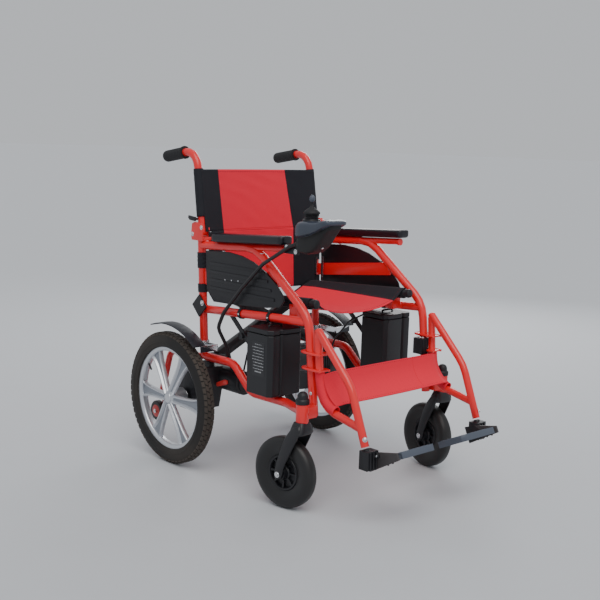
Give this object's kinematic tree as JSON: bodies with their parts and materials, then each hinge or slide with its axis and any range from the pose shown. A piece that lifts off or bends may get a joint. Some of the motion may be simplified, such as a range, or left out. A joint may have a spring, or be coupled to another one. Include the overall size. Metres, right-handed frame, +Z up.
{
  "type": "folding power wheelchair",
  "caption": "Folding power wheelchair with a tubular side frame, sling seat and back, motor-driven rear wheels, front casters, flip-up footplates and an armrest joystick.",
  "frame": {"origin": "centre of the floor rectangle under the chair", "axes": "+Z up, -Y is the way the occupant faces, -X is the occupant's right, the joystick side"},
  "size_m": [0.6592, 1.0616, 0.9535],
  "materials": {
    "red_paint": "gloss powder coat",
    "black_paint": "satin black paint",
    "black_plastic": "fine-grained moulding",
    "glossy_plastic": "smooth black moulding",
    "red_plastic": "smooth red moulding",
    "grey_plate": "dark grey, ribbed top",
    "pad_cover": "soft moulded foam skin",
    "grip_rubber": "ribbed black rubber",
    "tyre": "block tread",
    "small_tyre": "smooth solid tyre on a black hub",
    "alloy": "satin cast alloy",
    "red_fabric": "woven nylon upholstery",
    "black_fabric": "woven nylon upholstery",
    "cord": "sheathed cable"
  },
  "bodies": {
    "frame_right": {"right_rear_post": "red_paint", "right_front_tube": "red_paint", "right_seat_rail": "red_paint", "right_lower_rail": "red_paint", "right_side_guard": "black_plastic", "right_arm_pad": "pad_cover", "right_fender": "glossy_plastic", "right_gearmotor": "black_paint", "right_battery_box": "black_plastic", "right_hanger": "red_paint", "right_footrest_block": "black_plastic", "right_antitip_tube": "red_paint", "controller_box": "glossy_plastic", "main_cable": "cord", "right_battery_lead": "cord", "back_lower_panel": "black_fabric", "calf_strap": "red_fabric"},
    "brace_a": {"brace_a": "black_paint", "seat_sling": "red_fabric"},
    "brace_b": {"brace_b": "black_paint"},
    "frame_left": {"left_rear_post": "red_paint", "left_front_tube": "red_paint", "left_seat_rail": "red_paint", "left_lower_rail": "red_paint", "left_side_guard": "black_plastic", "left_arm_pad": "pad_cover", "left_fender": "glossy_plastic", "left_gearmotor": "black_paint", "left_battery_box": "black_plastic", "left_hanger": "red_paint", "left_footrest_block": "black_plastic", "left_antitip_tube": "red_paint", "left_battery_lead": "cord"},
    "back_right": {"right_back_post": "red_paint", "right_push_grip": "grip_rubber", "back_upper_panel": "red_fabric"},
    "back_left": {"left_back_post": "red_paint", "left_push_grip": "grip_rubber"},
    "stick_gimbal": {"stick_gimbal": "black_plastic"},
    "control_stick": {"control_stick": "grip_rubber"},
    "power_key": {"power_key": "red_plastic"},
    "horn_key": {"horn_key": "grey_plate"},
    "speed_rocker": {"speed_rocker": "grey_plate"},
    "right_release_lever": {"right_release_lever": "black_plastic"},
    "right_rear_wheel": {"right_rear_tyre": "tyre", "right_rear_rim": "alloy"},
    "right_caster_fork": {"right_caster_fork": "black_paint"},
    "right_caster_wheel": {"right_caster_wheel": "small_tyre"},
    "right_antitip_wheel": {"right_antitip_wheel": "small_tyre"},
    "right_footplate": {"right_footplate": "grey_plate"},
    "right_freewheel_lever": {"right_freewheel_lever": "red_plastic"},
    "left_release_lever": {"left_release_lever": "black_plastic"},
    "left_rear_wheel": {"left_rear_tyre": "tyre", "left_rear_rim": "alloy"},
    "left_caster_fork": {"left_caster_fork": "black_paint"},
    "left_caster_wheel": {"left_caster_wheel": "small_tyre"},
    "left_antitip_wheel": {"left_antitip_wheel": "small_tyre"},
    "left_footplate": {"left_footplate": "grey_plate"},
    "left_freewheel_lever": {"left_freewheel_lever": "red_plastic"}
  },
  "joints": [
    {"name": "fold", "type": "hinge", "parent": "frame_right", "child": "brace_a", "pos_m": [-0.199, 0.2158, 0.334], "axis": [0, -1, 0], "range_deg": [0, 22], "deforming": ["seat_sling", "back_upper_panel", "back_lower_panel", "calf_strap"]},
    {"name": "brace_cross", "type": "hinge", "parent": "brace_a", "child": "brace_b", "pos_m": [0, 0.2158, 0.432], "axis": [0, -1, 0], "range_deg": [-44, 0]},
    {"name": "left_frame_hinge", "type": "hinge", "parent": "brace_b", "child": "frame_left", "pos_m": [0.199, 0.2158, 0.334], "axis": [0, -1, 0], "range_deg": [0, 22]},
    {"name": "back_fold", "type": "hinge", "parent": "frame_right", "child": "back_right", "pos_m": [-0.227, 0.2708, 0.708], "axis": [-1, 0, 0], "range_deg": [0, 90], "deforming": ["back_upper_panel", "back_lower_panel"]},
    {"name": "left_back_fold", "type": "hinge", "parent": "frame_left", "child": "back_left", "pos_m": [0.227, 0.2708, 0.708], "axis": [-1, 0, 0], "range_deg": [0, 90]},
    {"name": "right_rear_wheel_spin", "type": "hinge", "parent": "frame_right", "child": "right_rear_wheel", "pos_m": [-0.308, 0.3148, 0.203], "axis": [1, 0, 0], "continuous": true},
    {"name": "right_caster_swivel", "type": "hinge", "parent": "frame_right", "child": "right_caster_fork", "pos_m": [-0.285, -0.2522, 0.299], "axis": [0, 0, 1], "continuous": true},
    {"name": "right_caster_spin", "type": "hinge", "parent": "right_caster_fork", "child": "right_caster_wheel", "pos_m": [-0.29292, -0.1998, 0.1], "axis": [0.9888, 0.1494, 0], "continuous": true},
    {"name": "right_antitip_spin", "type": "hinge", "parent": "frame_right", "child": "right_antitip_wheel", "pos_m": [-0.229, 0.4978, 0.11], "axis": [1, 0, 0], "continuous": true},
    {"name": "right_footplate_flip", "type": "hinge", "parent": "frame_right", "child": "right_footplate", "pos_m": [-0.192, -0.4272, 0.16], "axis": [0, -0.9026, 0.4305], "range_deg": [0, 90]},
    {"name": "right_freewheel_lever", "type": "hinge", "parent": "frame_right", "child": "right_freewheel_lever", "pos_m": [-0.2154, 0.1648, 0.266], "axis": [-1, 0, 0], "range_deg": [0, 25]},
    {"name": "right_release_lever", "type": "hinge", "parent": "back_right", "child": "right_release_lever", "pos_m": [-0.2487, 0.2788, 0.744], "axis": [1, 0, 0], "range_deg": [0, 18], "stiffness_Nm_per_rad": 0.5, "springref_deg": -8.59},
    {"name": "left_rear_wheel_spin", "type": "hinge", "parent": "frame_left", "child": "left_rear_wheel", "pos_m": [0.308, 0.3148, 0.203], "axis": [1, 0, 0], "continuous": true},
    {"name": "left_caster_swivel", "type": "hinge", "parent": "frame_left", "child": "left_caster_fork", "pos_m": [0.285, -0.2522, 0.299], "axis": [0, 0, 1], "continuous": true},
    {"name": "left_caster_spin", "type": "hinge", "parent": "left_caster_fork", "child": "left_caster_wheel", "pos_m": [0.29292, -0.1998, 0.1], "axis": [0.9888, -0.1494, 0], "continuous": true},
    {"name": "left_antitip_spin", "type": "hinge", "parent": "frame_left", "child": "left_antitip_wheel", "pos_m": [0.229, 0.4978, 0.11], "axis": [1, 0, 0], "continuous": true},
    {"name": "left_footplate_flip", "type": "hinge", "parent": "frame_left", "child": "left_footplate", "pos_m": [0.192, -0.4272, 0.16], "axis": [0, 0.9026, -0.4305], "range_deg": [0, 90]},
    {"name": "left_freewheel_lever", "type": "hinge", "parent": "frame_left", "child": "left_freewheel_lever", "pos_m": [0.2154, 0.1648, 0.266], "axis": [-1, 0, 0], "range_deg": [0, 25]},
    {"name": "left_release_lever", "type": "hinge", "parent": "back_left", "child": "left_release_lever", "pos_m": [0.2487, 0.2788, 0.744], "axis": [1, 0, 0], "range_deg": [0, 18], "stiffness_Nm_per_rad": 0.5, "springref_deg": -8.59},
    {"name": "stick_fore_aft", "type": "hinge", "parent": "frame_right", "child": "stick_gimbal", "pos_m": [-0.24, -0.2192, 0.771], "axis": [1, 0, 0], "range_deg": [-18, 18], "stiffness_Nm_per_rad": 0.25},
    {"name": "stick_sideways", "type": "hinge", "parent": "stick_gimbal", "child": "control_stick", "pos_m": [-0.24, -0.2192, 0.771], "axis": [0, 1, 0], "range_deg": [-18, 18], "stiffness_Nm_per_rad": 0.25},
    {"name": "power_key_press", "type": "slide", "parent": "frame_right", "child": "power_key", "axis": [0, 0, -1], "range_m": [0, 0.0015], "stiffness_N_per_m": 400, "springref_m": -0.0005},
    {"name": "horn_key_press", "type": "slide", "parent": "frame_right", "child": "horn_key", "axis": [0, 0, -1], "range_m": [0, 0.0015], "stiffness_N_per_m": 400, "springref_m": -0.0005},
    {"name": "speed_rocker_tip", "type": "hinge", "parent": "frame_right", "child": "speed_rocker", "pos_m": [-0.24, -0.2852, 0.781], "axis": [0, 1, 0], "range_deg": [-6, 6], "stiffness_Nm_per_rad": 0.1}
  ],
  "couplings": [
    {"joint": "brace_cross", "follows": "fold", "ratio": -2},
    {"joint": "left_frame_hinge", "follows": "fold", "ratio": 1},
    {"joint": "left_back_fold", "follows": "back_fold", "ratio": 1}
  ]
}
